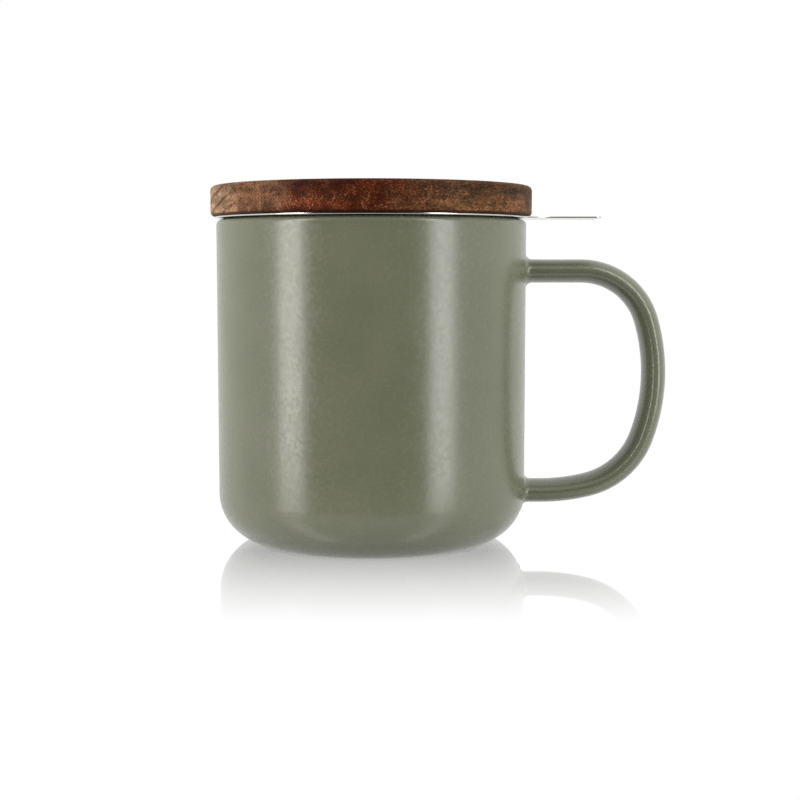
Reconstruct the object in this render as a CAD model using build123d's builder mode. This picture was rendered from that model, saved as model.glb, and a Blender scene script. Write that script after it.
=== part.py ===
"""Lidded tea mug with a lift-out infuser: stoneware body and handle, stainless basket, acacia lid.

The origin is the middle of the foot on the table. +Z is up, and the handle and the lift tab
point along +X. Sizes are in millimetres.
"""

import os
from math import cos, floor, radians, sin

from build123d import *

# ---- Mug body: slip-cast stoneware -------------------------------------------------------
body_radius = 42.5
body_height = 88.8
body_wall = 3.5
body_floor = 5.0
corner_radius = 13.5
rim_outer_radius = 1.8
rim_inner_radius = 1.2
foot_ring_width = 3.5
foot_recess_depth = 1.6
foot_edge_radius = 0.5

# ---- Handle: an oval strap luted to the wall ---------------------------------------------
handle_width = 13.0
handle_thickness = 6.4
handle_top_drop = 14.26
handle_foot_height = 13.34
handle_top_run = 15.4
shoulder_radius = 19.0
shoulder_turn = 73.0
grip_turn = 37.0
heel_radius = 21.3
heel_turn = 56.0
tail_radius = 54.7
handle_root_radius = 1.9
root_flare_steps = 4

# ---- Infuser: stainless sheet ------------------------------------------------------------
flange_thickness = 0.5
flange_overhang = 0.55
neck_clearance = 0.5
neck_step_in = 2.0
neck_step_height = 1.8
neck_lip_height = 3.6
bend_radius = 0.8
tab_length = 19.4
tab_width = 16.5
tab_root_radius = 10.0
tab_tip_radius = 1.7
mesh_thickness = 0.4
basket_floor_gap = 13.0
crimp_height = 4.0
seam_width = 6.0
seam_end_gap = 0.5

# ---- Perforation: round holes in the basket ----------------------------------------------
hole_radius = 1.1
wall_holes_around = 32
wall_hole_row_pitch = 6.0
wall_hole_margin = 2.5
floor_hole_pitch = 6.0
floor_hole_margin = 3.5

# ---- Lid: turned acacia with a silicone ring ---------------------------------------------
lid_thickness = 8.2
lid_overhang = 1.5
lid_top_edge_radius = 1.3
lid_bottom_edge_radius = 1.2
plug_depth = 6.8
plug_clearance = 1.1
plug_step_gap = 0.9
plug_edge_chamfer = 0.8
groove_depth = 1.6
groove_height = 3.2
groove_top_gap = 1.6
seal_clearance = 0.3
seal_fin_thickness = 0.7
seal_fin_tip_radius = 0.3
seal_fin_pitch = 1.7

# ---- Sizes that follow -------------------------------------------------------------------
bore_radius = body_radius - body_wall
bore_corner_radius = corner_radius - body_wall
foot_radius = body_radius - corner_radius

flange_radius = body_radius + flange_overhang
flange_top_z = body_height + flange_thickness
neck_radius = bore_radius - neck_clearance
neck_inner_radius = neck_radius - flange_thickness
lip_radius = neck_radius - neck_step_in
mesh_radius = lip_radius - flange_thickness
plug_bottom_z = flange_top_z - plug_depth
neck_bottom_z = plug_bottom_z - plug_step_gap
lip_top_z = neck_bottom_z - neck_step_height
lip_bottom_z = lip_top_z - neck_lip_height
basket_floor_z = body_floor + basket_floor_gap
crimp_top_z = basket_floor_z + crimp_height
wall_bottom_z = basket_floor_z + bend_radius
wall_top_z = lip_top_z - bend_radius

lid_radius = body_radius + lid_overhang
plug_radius = neck_inner_radius - plug_clearance
groove_bottom_z = flange_top_z - groove_top_gap - groove_height

# Edges and corners this close to a size count as lying on it.
touch_tolerance = 0.01

# ---- Mug body ----------------------------------------------------------------------------
# The solid outside shape comes first, because the handle is trimmed to it as well. It is drawn
# from -X, so that the seam of its round faces lies opposite the handle.
with BuildPart() as mug_blank:
    with BuildSketch(Plane(origin=(0, 0, 0), x_dir=(-1, 0, 0), z_dir=(0, 0, 1))):
        Circle(body_radius)
    extrude(amount=body_height)
    fillet(mug_blank.edges().sort_by(Axis.Z)[0], radius=corner_radius)

with BuildPart() as mug_body:
    add(mug_blank.part)
    with BuildSketch(Plane.XY.offset(body_floor)):
        Circle(bore_radius)
    extrude(amount=body_height - body_floor, mode=Mode.SUBTRACT)
    fillet(
        mug_body.edges().filter_by(GeomType.CIRCLE).filter_by_position(Axis.Z, body_floor, body_floor),
        radius=bore_corner_radius,
    )
    rim_edges = mug_body.edges().group_by(Axis.Z)[-1].sort_by(SortBy.RADIUS)
    fillet(rim_edges[-1], radius=rim_outer_radius)
    rim_edges = mug_body.edges().group_by(Axis.Z)[-1].sort_by(SortBy.RADIUS)
    fillet(rim_edges[0], radius=rim_inner_radius)
    # The recess leaves a ring for the mug to stand on.
    with BuildSketch(Plane.XY):
        Circle(foot_radius - foot_ring_width)
    extrude(amount=foot_recess_depth, mode=Mode.SUBTRACT)
    fillet(mug_body.edges().group_by(Axis.Z)[0].sort_by(SortBy.RADIUS)[0], radius=foot_edge_radius)
mug_body.part.label = "mug_body"

# ---- Handle ------------------------------------------------------------------------------
# The centreline is a level run, four tangent arcs and a level run back to the wall. The grip
# arc takes up whatever drop the shoulder, heel and tail leave between the two runs.
handle_top_z = body_height - handle_top_drop
tail_turn = 180.0 - shoulder_turn - grip_turn - heel_turn
cos_after_shoulder = cos(radians(shoulder_turn))
cos_after_grip = cos(radians(shoulder_turn + grip_turn))
cos_after_heel = cos(radians(shoulder_turn + grip_turn + heel_turn))
drop_of_shoulder = shoulder_radius * (1.0 - cos_after_shoulder)
drop_of_heel = heel_radius * (cos_after_grip - cos_after_heel)
drop_of_tail = tail_radius * (cos_after_heel + 1.0)
drop_left_for_grip = handle_top_z - handle_foot_height - drop_of_shoulder - drop_of_heel - drop_of_tail
grip_radius = drop_left_for_grip / (cos_after_shoulder - cos_after_grip)
handle_run_start_x = body_radius + handle_root_radius

# Clay worked into the two joints makes each root flare out to the wall along a quarter circle.
# Each section is a distance from the wall and a growth of the oval; the first lies in the wall.
root_sections = [(-body_wall / 2, handle_root_radius)]
for step in range(root_flare_steps + 1):
    flare_turn = radians(90.0 * step / root_flare_steps)
    wall_distance = handle_root_radius * (1 - cos(flare_turn))
    oval_growth = handle_root_radius * (1 - sin(flare_turn))
    root_sections.append((wall_distance, oval_growth))

with BuildPart() as mug_handle:
    with BuildLine(Plane.XZ):
        top_run = Line(
            (handle_run_start_x, handle_top_z),
            (body_radius + handle_top_run, handle_top_z),
        )
        shoulder = JernArc(top_run @ 1, top_run % 1, shoulder_radius, -shoulder_turn)
        grip = JernArc(shoulder @ 1, shoulder % 1, grip_radius, -grip_turn)
        heel = JernArc(grip @ 1, grip % 1, heel_radius, -heel_turn)
        tail = JernArc(heel @ 1, heel % 1, tail_radius, -tail_turn)
        Line(tail @ 1, Vector(handle_run_start_x, 0, handle_foot_height))
    with BuildSketch(Plane(origin=top_run @ 0, x_dir=(0, 1, 0), z_dir=(1, 0, 0))):
        Ellipse(handle_width / 2, handle_thickness / 2)
    sweep()
    for root_z in (handle_top_z, handle_foot_height):
        for wall_distance, oval_growth in root_sections:
            section_centre = (body_radius + wall_distance, 0, root_z)
            with BuildSketch(Plane(origin=section_centre, x_dir=(0, 1, 0), z_dir=(1, 0, 0))):
                Ellipse(handle_width / 2 + oval_growth, handle_thickness / 2 + oval_growth)
        loft(ruled=True)
    add(mug_blank.part, mode=Mode.SUBTRACT)
mug_handle.part.label = "mug_handle"

# ---- Infuser flange ----------------------------------------------------------------------
# One pressing: a flat ring on the rim, a neck down the bore, a step in and a lip that grips the
# perforated wall. The lift tab is part of the same sheet.
with BuildPart() as infuser_flange:
    with BuildSketch(Plane.XZ):
        with BuildLine():
            FilletPolyline(
                (flange_radius, body_height),
                (neck_radius, body_height),
                (neck_radius, neck_bottom_z),
                (lip_radius, lip_top_z),
                (lip_radius, lip_bottom_z),
                radius=bend_radius,
            )
            offset(amount=flange_thickness, side=Side.RIGHT)
        make_face()
    revolve(axis=Axis.Z)
    with BuildSketch(Plane.XY.offset(body_height)) as tab_outline:
        Circle(flange_radius)
        with Locations(((flange_radius + tab_length) / 2, 0)):
            Rectangle(flange_radius + tab_length, tab_width)
        fillet(tab_outline.vertices().group_by(Axis.X)[-1], radius=tab_tip_radius)
        tab_side_corners = tab_outline.vertices().filter_by(
            lambda corner: abs(abs(corner.Y) - tab_width / 2) < touch_tolerance
        )
        root_corners = tab_side_corners.filter_by(lambda corner: 0 < corner.X < flange_radius)
        fillet(root_corners, radius=tab_root_radius)
        Circle(neck_radius + bend_radius, mode=Mode.SUBTRACT)
    extrude(amount=flange_thickness)
infuser_flange.part.label = "infuser_flange"

# ---- Infuser wall ------------------------------------------------------------------------
# Perforated sheet rolled to a tube. Its lap seam runs down the +Y side.
seam_angle = 90.0
hole_step_angle = 360.0 / wall_holes_around
hole_cutter_length = 4 * mesh_thickness
row_span = lip_bottom_z - crimp_top_z - 2 * (wall_hole_margin + hole_radius)
row_count = floor(row_span / wall_hole_row_pitch) + 1
first_row_z = (lip_bottom_z + crimp_top_z - (row_count - 1) * wall_hole_row_pitch) / 2

with BuildPart() as infuser_wall:
    with BuildSketch(Plane.XY.offset(wall_bottom_z)):
        Circle(mesh_radius)
        Circle(mesh_radius - mesh_thickness, mode=Mode.SUBTRACT)
    extrude(amount=wall_top_z - wall_bottom_z)
    with BuildSketch(Plane.XY.offset(crimp_top_z + seam_end_gap)):
        Circle(mesh_radius + mesh_thickness)
        Circle(mesh_radius, mode=Mode.SUBTRACT)
        with Locations((0, mesh_radius)):
            Rectangle(seam_width, body_radius, mode=Mode.INTERSECT)
    extrude(amount=lip_bottom_z - crimp_top_z - 2 * seam_end_gap)
    # Rows of holes are staggered, and both kinds of row stop short of the seam.
    for row in range(row_count):
        first_step = 1.0 + 0.5 * (row % 2)
        holes_in_row = wall_holes_around - 1 - row % 2
        with Locations((0, 0, first_row_z + row * wall_hole_row_pitch)):
            with PolarLocations(
                mesh_radius,
                holes_in_row,
                start_angle=seam_angle + first_step * hole_step_angle,
                angular_range=holes_in_row * hole_step_angle,
            ):
                Cylinder(hole_radius, hole_cutter_length, rotation=(0, 90, 0), mode=Mode.SUBTRACT)
infuser_wall.part.label = "infuser_wall"

# ---- Infuser floor -----------------------------------------------------------------------
# A perforated disc whose edge is turned up round the foot of the wall and crimped to it.
floor_ring_count = floor((mesh_radius - floor_hole_margin - hole_radius) / floor_hole_pitch)

with BuildPart() as infuser_floor:
    with BuildSketch(Plane.XZ):
        with BuildLine():
            FilletPolyline(
                (0, basket_floor_z),
                (mesh_radius + mesh_thickness, basket_floor_z),
                (mesh_radius + mesh_thickness, crimp_top_z),
                radius=bend_radius,
            )
            offset(amount=mesh_thickness, side=Side.LEFT)
        make_face()
    revolve(axis=Axis.Z)
    with BuildSketch(Plane.XY.offset(basket_floor_z)):
        Circle(hole_radius)
        for ring in range(1, floor_ring_count + 1):
            with PolarLocations(ring * floor_hole_pitch, 6 * ring):
                Circle(hole_radius)
    extrude(amount=mesh_thickness, mode=Mode.SUBTRACT)
infuser_floor.part.label = "infuser_floor"

# ---- Lid ---------------------------------------------------------------------------------
# A turned disc that lies on the flange, with a plug that centres it in the neck.
with BuildPart() as lid_disc:
    with BuildSketch(Plane.XY.offset(flange_top_z)):
        Circle(lid_radius)
    extrude(amount=lid_thickness)
    fillet(lid_disc.edges().group_by(Axis.Z)[-1], radius=lid_top_edge_radius)
    fillet(lid_disc.edges().group_by(Axis.Z)[0], radius=lid_bottom_edge_radius)
    with BuildSketch(Plane.XY.offset(plug_bottom_z)):
        Circle(plug_radius)
    extrude(amount=plug_depth)
    chamfer(lid_disc.edges().group_by(Axis.Z)[0], length=plug_edge_chamfer)
    with BuildSketch(Plane.XY.offset(groove_bottom_z)):
        Circle(plug_radius)
        Circle(plug_radius - groove_depth, mode=Mode.SUBTRACT)
    extrude(amount=groove_height, mode=Mode.SUBTRACT)
lid_disc.part.label = "lid_disc"

# ---- Lid seal ----------------------------------------------------------------------------
# A silicone ring fills the groove. Its two fins reach almost to the inside of the neck.
seal_radius = neck_inner_radius - seal_clearance
seal_middle_z = groove_bottom_z + groove_height / 2
seal_fin_length = seal_radius - plug_radius

with BuildPart() as lid_seal:
    with BuildSketch(Plane.XZ) as seal_profile:
        with Locations((plug_radius - groove_depth / 2, seal_middle_z)):
            Rectangle(groove_depth, groove_height)
        with Locations((plug_radius + seal_fin_length / 2, seal_middle_z)):
            with GridLocations(0, seal_fin_pitch, 1, 2):
                Rectangle(seal_fin_length, seal_fin_thickness)
        fillet(seal_profile.vertices().group_by(Axis.X)[-1], radius=seal_fin_tip_radius)
    revolve(axis=Axis.Z)
lid_seal.part.label = "lid_seal"

# ---- Write one file for each piece -------------------------------------------------------
os.makedirs("parts", exist_ok=True)
for piece in (
    mug_body,
    mug_handle,
    infuser_flange,
    infuser_wall,
    infuser_floor,
    lid_disc,
    lid_seal,
):
    export_step(piece.part, f"parts/{piece.part.label}.step")
    print(piece.part.label, "volume", round(piece.part.volume / 1000, 2), "cm3")
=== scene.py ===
# %% [markdown]
# # A stoneware tea mug with a lift-out infuser and a wooden lid
# The mug is cast in clay, glazed a satin sage green and fired. A stainless basket hangs in its
# mouth by a flat flange with a tab to lift it by, and a turned acacia lid lies on the flange.
# The rigid frame already holds every piece at its real size. This lesson makes the pieces that
# are seen: smooth glazed clay, thin sheet with hundreds of small holes, and oiled wood.
# Everything is in metres, with +Z up and the handle along +X.

# %% Load the frame and keep its box
from math import atan2, ceil, cos, hypot, pi, radians, sin, sqrt, tan

import bmesh
import bpy
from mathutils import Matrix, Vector


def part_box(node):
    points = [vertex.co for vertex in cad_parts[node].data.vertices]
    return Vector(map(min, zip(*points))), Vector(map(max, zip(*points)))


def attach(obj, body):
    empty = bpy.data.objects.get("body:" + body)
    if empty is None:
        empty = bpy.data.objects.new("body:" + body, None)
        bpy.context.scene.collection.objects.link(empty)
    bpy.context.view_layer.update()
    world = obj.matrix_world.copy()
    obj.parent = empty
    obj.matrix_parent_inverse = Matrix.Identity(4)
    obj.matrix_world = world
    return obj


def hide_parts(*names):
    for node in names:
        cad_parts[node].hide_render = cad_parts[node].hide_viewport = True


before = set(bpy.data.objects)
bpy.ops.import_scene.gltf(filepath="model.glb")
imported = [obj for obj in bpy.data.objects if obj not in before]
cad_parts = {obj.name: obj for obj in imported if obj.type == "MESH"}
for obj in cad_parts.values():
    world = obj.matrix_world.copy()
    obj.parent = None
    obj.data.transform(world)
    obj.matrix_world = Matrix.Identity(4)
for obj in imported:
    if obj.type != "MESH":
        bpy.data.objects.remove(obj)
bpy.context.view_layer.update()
mm = 0.001

# %% [markdown]
# ## Sizes
# Each size that a piece shares with the frame is read from the frame's own boxes, so that the
# seen pieces can't drift from the solid ones. What a box can't tell, such as the thickness of a
# wall inside it, is a named value in millimetres beside the piece that it belongs to.

# %% Sizes read from the frame
mug_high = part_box("mug_body")[1]
handle_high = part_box("mug_handle")[1]
flange_low, flange_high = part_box("infuser_flange")
wall_low, wall_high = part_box("infuser_wall")
floor_low, floor_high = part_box("infuser_floor")
lid_low, lid_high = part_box("lid_disc")
seal_low, seal_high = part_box("lid_seal")

body_radius = mug_high.y
rim_height = mug_high.z
flange_radius = flange_high.y
flange_top = flange_high.z
tab_tip = flange_high.x
lid_radius = lid_high.y
lid_top = lid_high.z
print("body", round(2 * body_radius / mm, 1), "mm across, rim at", round(rim_height / mm, 1))

# %% [markdown]
# ## Tools for meshes
# Most pieces here are round, so they start as an outline: a short list of corners, each with the
# radius that rounds it. `rounded` turns the corners into arcs, and also puts a holding point near
# each end of a long straight run. Smooth shading blends normals between neighbouring points, and
# the holding points keep that blend close to the arc, so that the flat stretches stay flat.

# %% Outlines with rounded corners
arc_steps = 8
hold_distance = 0.25 * mm


def arc_between(here, towards_last, towards_next, radius, steps):
    """Points of the arc that rounds a corner whose two runs leave it along the given directions."""
    half_angle = towards_last.angle(towards_next) / 2
    centre = here + (towards_last + towards_next).normalized() * radius / sin(half_angle)
    start = here + towards_last * radius / tan(half_angle) - centre
    end = here + towards_next * radius / tan(half_angle) - centre
    start_angle = atan2(start.y, start.x)
    turn = (atan2(end.y, end.x) - start_angle + pi) % (2 * pi) - pi
    angles = [start_angle + turn * step / steps for step in range(steps + 1)]
    return [centre + Vector((cos(a), sin(a))) * radius for a in angles]


def hold_straights(points, closed):
    """Adds a point near each end of every straight run that is long enough to need it."""
    held = []
    for number, point in enumerate(points):
        held.append(point)
        if number + 1 < len(points) or closed:
            run = points[(number + 1) % len(points)] - point
            if run.length > 4 * hold_distance:
                step = run.normalized() * hold_distance
                held += [point + step, point + run - step]
    return held


def rounded(corners, closed=False, steps=arc_steps):
    """The outline through (across, up, radius) corners, as 2-D points."""
    places = [Vector(corner[:2]) for corner in corners]
    points = []
    for number, here in enumerate(places):
        radius = corners[number][2]
        if radius == 0:
            points.append(here)
            continue
        towards_last = (places[number - 1] - here).normalized()
        towards_next = (places[(number + 1) % len(places)] - here).normalized()
        points += arc_between(here, towards_last, towards_next, radius, steps)
    return hold_straights(points, closed)


print("a corner is rounded in", arc_steps, "steps and held", hold_distance / mm, "mm away")

# %% Meshes from outlines
merge_distance = 0.0005 * mm
turn_segments = 256


def new_piece(name, points, faces):
    """An object at the origin from points and faces, merged, with its faces turned outwards."""
    mesh = bpy.data.meshes.new(name)
    mesh.from_pydata([tuple(p) for p in points], [], faces)
    work = bmesh.new()
    work.from_mesh(mesh)
    bmesh.ops.remove_doubles(work, verts=work.verts, dist=merge_distance)
    bmesh.ops.recalc_face_normals(work, faces=work.faces)
    work.to_mesh(mesh)
    work.free()
    piece = bpy.data.objects.new(name, mesh)
    bpy.context.scene.collection.objects.link(piece)
    return piece


def loop_faces(rows, columns, rows_close, columns_close):
    """Quads between neighbouring points of a grid that is numbered row by row."""
    faces = []
    for row in range(rows if rows_close else rows - 1):
        for column in range(columns if columns_close else columns - 1):
            next_row = (row + 1) % rows
            next_column = (column + 1) % columns
            corners = [(row, column), (row, next_column), (next_row, next_column), (next_row, column)]
            faces.append([r * columns + c for r, c in corners])
    return faces


def turned(name, outline, closed=False):
    """A piece turned round the Z axis. Points on the axis merge into one pole."""
    points = []
    for across, up in outline:
        for number in range(turn_segments):
            angle = 2 * pi * number / turn_segments
            points.append((across * cos(angle), across * sin(angle), up))
    return new_piece(name, points, loop_faces(len(outline), turn_segments, closed, True))


def describe(piece):
    """Prints how large a piece's mesh is and whether it is closed."""
    work = bmesh.new()
    work.from_mesh(piece.data)
    open_edges = sum(not edge.is_manifold for edge in work.edges)
    triangles = sum(len(face.verts) - 2 for face in work.faces)
    work.free()
    print(piece.name, triangles, "triangles,", open_edges, "open edges")


print("a turned piece has", turn_segments, "segments")

# %% [markdown]
# ## Tools for materials
# A material is a small graph of nodes. `add` makes one node and wires it in the same line: each
# entry of its inputs is either a plain value or the output of an earlier node. All patterns read
# Object coordinates, which are the real metres of the part, so a grain of 0.3 mm is 0.3 mm on
# every piece, and a pattern runs on from one piece to the next without a seam.

# %% Node helpers
def add(tree, kind, inputs=None, **settings):
    """Adds a node, sets its properties and fills its inputs with values or with other outputs."""
    made = tree.nodes.new(kind)
    for name, value in settings.items():
        setattr(made, name, value)
    for socket, value in (inputs or {}).items():
        if isinstance(value, bpy.types.NodeSocket):
            tree.links.new(value, made.inputs[socket])
        else:
            made.inputs[socket].default_value = value
    return made


def srgb(red, green, blue):
    """A colour given as it looks on a screen, from 0 to 255, in the linear values nodes use."""
    shares = [value / 255 for value in (red, green, blue)]
    linear = [s / 12.92 if s <= 0.04045 else ((s + 0.055) / 1.055) ** 2.4 for s in shares]
    return (*linear, 1.0)


def new_material(name):
    """An empty material with its output node, its tree and the Object coordinates."""
    material = bpy.data.materials.new(name)
    material.use_nodes = True
    tree = material.node_tree
    tree.nodes.clear()
    place = add(tree, "ShaderNodeTexCoord").outputs["Object"]
    return material, tree, place


def finish_material(material, shader):
    """Joins the last shader to the material's output and hands the material back."""
    tree = material.node_tree
    add(tree, "ShaderNodeOutputMaterial", {"Surface": shader.outputs[0]})
    print(material.name, "has", len(tree.nodes), "nodes")
    return material


def noise(tree, place, size, detail=2.0, roughness=0.5):
    """Noise whose lumps are about as large as size, in metres. It lies round 0.5."""
    values = {"Vector": place, "Scale": 1 / size, "Detail": detail, "Roughness": roughness}
    return add(tree, "ShaderNodeTexNoise", values).outputs["Fac"]


def remap(tree, value, low, high, new_low=0.0, new_high=1.0, smooth=True):
    """Takes low..high to new_low..new_high and holds the ends."""
    values = {"Value": value, "From Min": low, "From Max": high, "To Min": new_low, "To Max": new_high}
    way = "SMOOTHSTEP" if smooth else "LINEAR"
    return add(tree, "ShaderNodeMapRange", values, interpolation_type=way).outputs["Result"]


def blend_colours(tree, share, colour_a, colour_b):
    """Colour a where share is 0, and colour b where it is 1."""
    values = {0: share, 6: colour_a, 7: colour_b}
    return add(tree, "ShaderNodeMix", values, data_type="RGBA").outputs[2]


def maths(tree, operation, *values):
    """One arithmetic step on numbers."""
    return add(tree, "ShaderNodeMath", dict(enumerate(values)), operation=operation).outputs[0]


def plus(tree, first, second):
    """The sum of two numbers."""
    return maths(tree, "ADD", first, second)


def minus(tree, first, second):
    """The first number less the second."""
    return maths(tree, "SUBTRACT", first, second)


def times(tree, first, second):
    """The product of two numbers."""
    return maths(tree, "MULTIPLY", first, second)


def divided(tree, first, second):
    """The first number over the second."""
    return maths(tree, "DIVIDE", first, second)


def distance_of(tree, first, second):
    """How far a point is from an axis, from its two coordinates across that axis."""
    squares = [maths(tree, "POWER", length, 2.0) for length in (first, second)]
    return maths(tree, "SQRT", plus(tree, *squares))


def parts_of(tree, place):
    """The X, Y and Z outputs of a place."""
    return add(tree, "ShaderNodeSeparateXYZ", {0: place}).outputs


def place_of(tree, **parts):
    """A place put together from its X, Y and Z."""
    return add(tree, "ShaderNodeCombineXYZ", parts).outputs[0]


def mixed(tree, share, first, second):
    """The first shader where share is 0, and the second where it is 1."""
    return add(tree, "ShaderNodeMixShader", {0: share, 1: first.outputs[0], 2: second.outputs[0]})


def stretched(tree, place, scale, turn=(0.0, 0.0, 0.0)):
    """Coordinates turned and scaled, so that a pattern is longer one way than the other."""
    values = {"Vector": place, "Rotation": turn, "Scale": scale}
    return add(tree, "ShaderNodeMapping", values, vector_type="POINT").outputs["Vector"]


def bump(tree, height, distance, strength=1.0, below=None):
    """Normals for a relief of the given depth in metres, over another bump's normals if any."""
    values = {"Height": height, "Distance": distance, "Strength": strength}
    if below is not None:
        values["Normal"] = below
    return add(tree, "ShaderNodeBump", values).outputs["Normal"]


print("a grey of 128 on the screen is", round(srgb(128, 128, 128)[0], 3), "in a node")

# %% Dressing a piece
def dress(piece, material, body, nodes, sharp_above=40.0):
    """Gives a finished mesh its material and its body, and hides the frame nodes that it stands for."""
    piece.data.materials.clear()
    piece.data.materials.append(material)
    piece.data.shade_smooth()
    piece.data.set_sharp_from_angle(angle=radians(sharp_above))
    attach(piece, body)
    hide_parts(*nodes)
    describe(piece)


# %% [markdown]
# ## The glaze
# A satin glaze is coloured glass with fine crystals in it. Up close it isn't one colour: the
# crystals make pale and dark specks a few tenths of a millimetre wide, and the coat is slightly
# thicker here than there. Out on the bend of the handle the colour is a little paler. That is
# painted light and shade: the strap lies in shade close to the mug and in more light further out.
# The skin is also slightly uneven, which is what breaks the edge of a highlight into grains. The
# foot ring is wiped clean before firing, so that the mug doesn't stick to the kiln shelf, and shows
# the buff clay. One material holds both and parts them by height.

# %% Glaze and bare clay
glaze_colour = srgb(108, 111, 89)
glaze_pool_colour = srgb(103, 107, 84)
glaze_speck_colour = srgb(128, 131, 110)
# Painted light: the paler colour out on the handle's bend, standing in for light there.
glaze_painted_light_colour = srgb(109, 112, 92)
clay_colour = srgb(205, 190, 165)
clay_shade_colour = srgb(176, 158, 132)
pool_size = 14 * mm
speck_size = 0.42 * mm
speck_share = 0.16
peel_size = 1.0 * mm
peel_depth = 0.016 * mm
ripple_size = 7.0 * mm
ripple_depth = 0.02 * mm
strap_peel_share = 0.1
strap_full = body_radius + 4 * mm
bend_starts = body_radius + 12 * mm
bend_full = body_radius + 28 * mm
grog_size = 0.5 * mm
grog_depth = 0.05 * mm
glaze_line = 0.5 * mm
glaze_line_low = glaze_line - 0.45 * mm
glaze_line_high = glaze_line - 0.35 * mm
waver_size = 5 * mm
waver_depth = 0.5 * mm


def make_glaze():
    """The satin sage glaze, with bare clay below the glaze line."""
    material, tree, place = new_material("sage_glaze_on_stoneware")
    pooling = noise(tree, place, pool_size, detail=3.0)
    colour = blend_colours(tree, remap(tree, pooling, 0.35, 0.65), glaze_colour, glaze_pool_colour)
    specks = noise(tree, place, speck_size, detail=1.0)
    pale = remap(tree, specks, 0.55, 0.8, 0.0, speck_share)
    colour = blend_colours(tree, pale, colour, glaze_speck_colour)
    spread = parts_of(tree, place)
    ripples = noise(tree, place, ripple_size, detail=1.0)
    peel = noise(tree, place, peel_size, detail=2.0, roughness=0.6)
    # Painted light and shade: paler out on the bend, base colour close to the mug where the strap is
    # shaded.
    painted_light_on_bend = remap(tree, spread["X"], bend_starts, bend_full)
    colour = blend_colours(tree, painted_light_on_bend, colour, glaze_painted_light_colour)
    on_strap = remap(tree, spread["X"], body_radius, strap_full)
    relief = remap(tree, on_strap, 0.0, 1.0, 1.0, strap_peel_share)
    normal = bump(tree, ripples, ripple_depth, strength=relief)
    normal = bump(tree, peel, peel_depth, strength=relief, below=normal)
    satin = {
        "Base Color": colour,
        "Roughness": remap(tree, peel, 0.38, 0.62, 0.2, 0.3, smooth=False),
        "Normal": normal,
        "IOR": 1.6,
    }
    glazed = add(tree, "ShaderNodeBsdfPrincipled", satin)

    grog = noise(tree, place, grog_size, detail=3.0)
    clay = blend_colours(tree, remap(tree, grog, 0.35, 0.7), clay_colour, clay_shade_colour)
    bare = {"Base Color": clay, "Roughness": 0.86, "Normal": bump(tree, grog, grog_depth)}
    unglazed = add(tree, "ShaderNodeBsdfPrincipled", bare)

    waver = times(tree, noise(tree, place, waver_size), waver_depth)
    edge = minus(tree, spread["Z"], waver)
    covered = remap(tree, edge, glaze_line_low, glaze_line_high)
    both = mixed(tree, covered, unglazed, glazed)
    return finish_material(material, both)


sage_glaze = make_glaze()

# %% [markdown]
# ## The mug's body
# The body is slip-cast: liquid clay sets against a plaster mould, so the outside is a plain
# cylinder with a generous round at the bottom, and the inside follows it at an even distance.
# One closed outline, from the middle of the recessed foot round the rim to the middle of the
# floor inside, turned about the axis, gives the whole shell with no seam to hide. The rim is
# crowned: it is highest near its inner side and falls away outwards, as a sponged clay rim does,
# so the flange rests on the crown and leaves a dark hairline round the outside.

# %% Body outline
body_wall = 3.5 * mm
body_floor = 5.0 * mm
corner_radius = 13.5 * mm
rim_outer_radius = 1.6 * mm
rim_inner_radius = 1.0 * mm
rim_crown = 1.3 * mm
rim_crown_radius = 0.8 * mm
rim_fall = 0.7 * mm
foot_ring_width = 3.5 * mm
foot_recess_depth = 1.6 * mm
foot_edge_radius = 0.5 * mm
body_arc_steps = 16

bore_radius = body_radius - body_wall
foot_radius = body_radius - corner_radius
foot_inner_radius = foot_radius - foot_ring_width
body_corners = [
    (0, foot_recess_depth, 0),
    (foot_inner_radius, foot_recess_depth, foot_edge_radius),
    (foot_inner_radius, 0, foot_edge_radius),
    (body_radius, 0, corner_radius),
    (body_radius, rim_height - rim_fall, rim_outer_radius),
    (bore_radius + rim_crown, rim_height, rim_crown_radius),
    (bore_radius, rim_height, rim_inner_radius),
    (bore_radius, body_floor, corner_radius - body_wall),
    (0, body_floor, 0),
]
stoneware_body = turned("stoneware_body", rounded(body_corners, steps=body_arc_steps))
dress(stoneware_body, sage_glaze, "mug", ["mug_body"])

# %% [markdown]
# ## The handle
# The handle is an oval strap of clay, bent while soft and stuck to the wall with slip. Its side
# view is a level run, four arcs that each start where the last one points, and a level run back.
# The strap is a stack of oval rings along that line. At the two roots the clay is smoothed out
# to the wall with a wet finger, so each ring point there follows a small round that is tangent
# to the strap on one side and to the wall on the other. The glaze then flows over without a step.

# %% Handle centreline
handle_thickness = 6.4 * mm
handle_width = 13.0 * mm
handle_top_drop = 14.26 * mm
handle_foot_height = 13.34 * mm
handle_top_run = 15.4 * mm
shoulder_radius = 19.0 * mm
shoulder_turn = radians(73.0)
grip_turn = radians(37.0)
heel_radius = 21.3 * mm
heel_turn = radians(56.0)
tail_radius = 54.7 * mm
root_radius = 1.9 * mm
ring_spacing = 1.0 * mm

tail_turn = pi - shoulder_turn - grip_turn - heel_turn
handle_top = rim_height - handle_top_drop
turned_by_grip = shoulder_turn + grip_turn
turned_by_heel = turned_by_grip + heel_turn
drop_of_others = (
    shoulder_radius * (1 - cos(shoulder_turn))
    + heel_radius * (cos(turned_by_grip) - cos(turned_by_heel))
    + tail_radius * (cos(turned_by_heel) + 1)
)
grip_drop = handle_top - handle_foot_height - drop_of_others
grip_radius = grip_drop / (cos(shoulder_turn) - cos(turned_by_grip))
bends = (
    (shoulder_radius, shoulder_turn),
    (grip_radius, grip_turn),
    (heel_radius, heel_turn),
    (tail_radius, tail_turn),
)


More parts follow.
